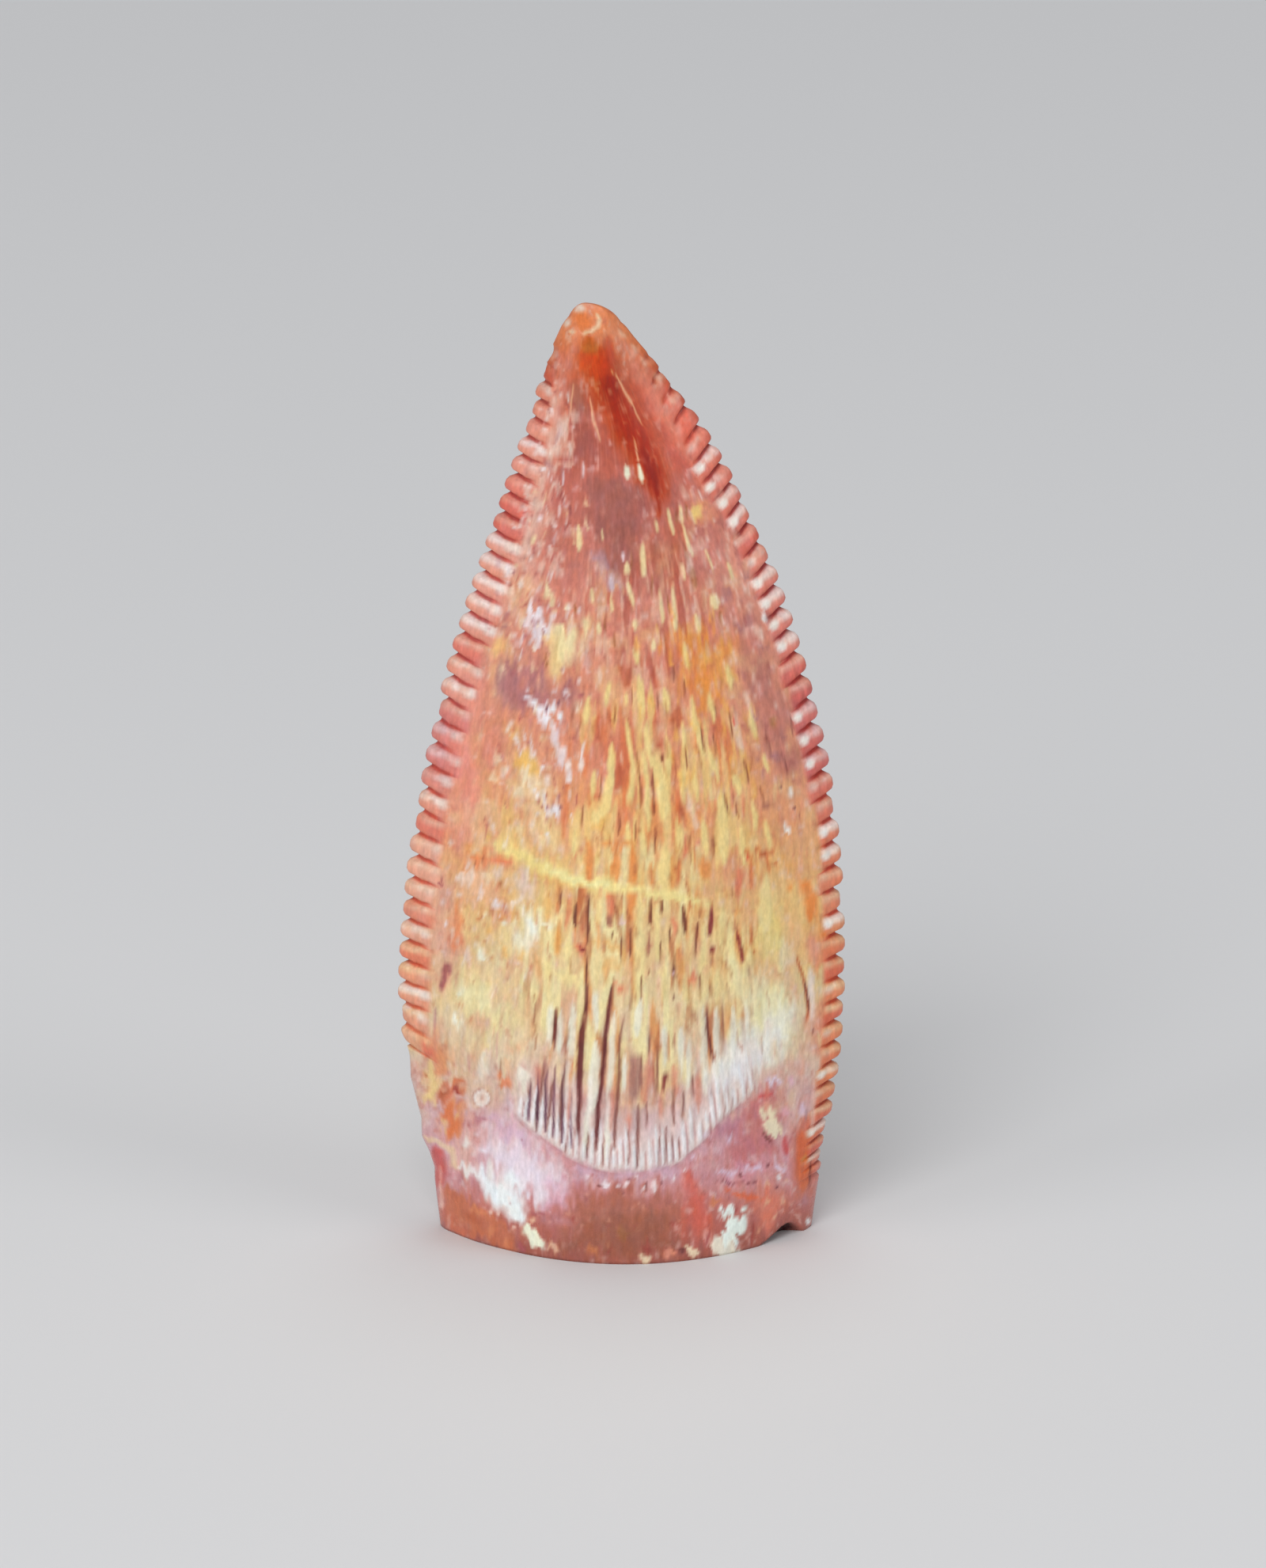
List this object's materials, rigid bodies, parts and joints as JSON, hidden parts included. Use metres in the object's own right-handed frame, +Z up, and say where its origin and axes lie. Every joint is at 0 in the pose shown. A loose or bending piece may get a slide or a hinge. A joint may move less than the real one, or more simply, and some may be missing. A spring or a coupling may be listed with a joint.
{
  "type": "fossil raptor tooth",
  "caption": "Flat, recurved fossil tooth crown with fine denticles along both edges, standing on its broken, flat-rimmed base.",
  "frame": {"origin": "middle of the bounding box, on the flat broken base", "axes": "+Z up to the tip, X across the blade with +X towards the bowed front edge, -Y out of the face with the fluted root end"},
  "size_m": [0.0082, 0.0044, 0.0178],
  "materials": {
    "tooth": "fossil enamel, satin gloss, mottled orange, cream, salmon and mauve-brown, with a brick-red root end"
  },
  "bodies": {
    "root": {"tooth": "tooth"}
  },
  "joints": []
}
